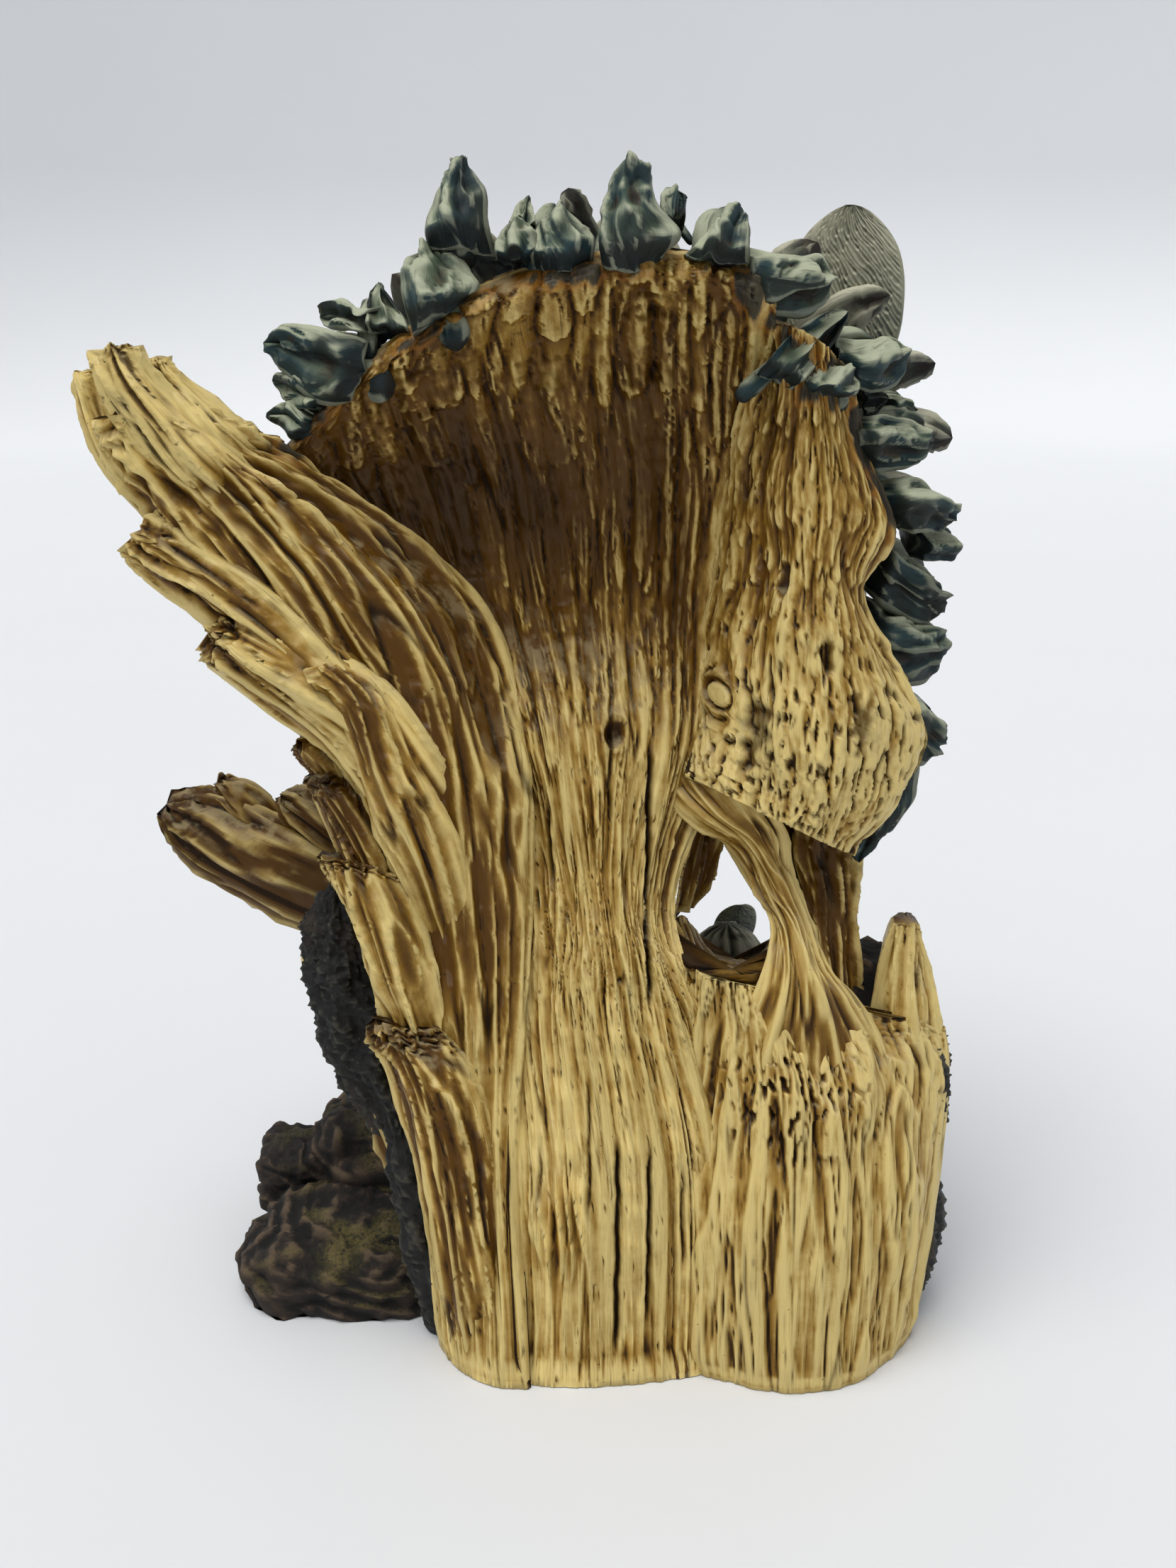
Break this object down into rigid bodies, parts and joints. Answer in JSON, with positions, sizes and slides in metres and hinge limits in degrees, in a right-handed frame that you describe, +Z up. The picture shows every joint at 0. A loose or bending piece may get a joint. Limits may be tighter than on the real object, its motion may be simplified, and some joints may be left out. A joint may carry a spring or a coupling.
{
  "type": "resin wolf family sculpture",
  "caption": "Cast resin sculpture of a wolf family in front of a split, hollow driftwood trunk with a fringe of carved mane locks, standing on its flat underside.",
  "frame": {"origin": "the middle of the flat underside, below the driftwood trunk, on the surface that the work stands on", "axes": "+Z up; +Y towards the side that the wolves face, so the carved driftwood back faces -Y; +X to the right when the driftwood back is looked at"},
  "size_m": [0.2973, 0.1952, 0.4178],
  "materials": {
    "driftwood_resin": "hand-painted honey ochre with a dark brown wash in the cracks, satin",
    "fur_resin": "hand-painted blue-grey and green with pale dry-brushed tops, matt",
    "rock_resin": "hand-painted dark brown and black with a gravelly surface, matt"
  },
  "bodies": {
    "root": {"wolf_family_casting": "driftwood_resin"}
  },
  "joints": []
}
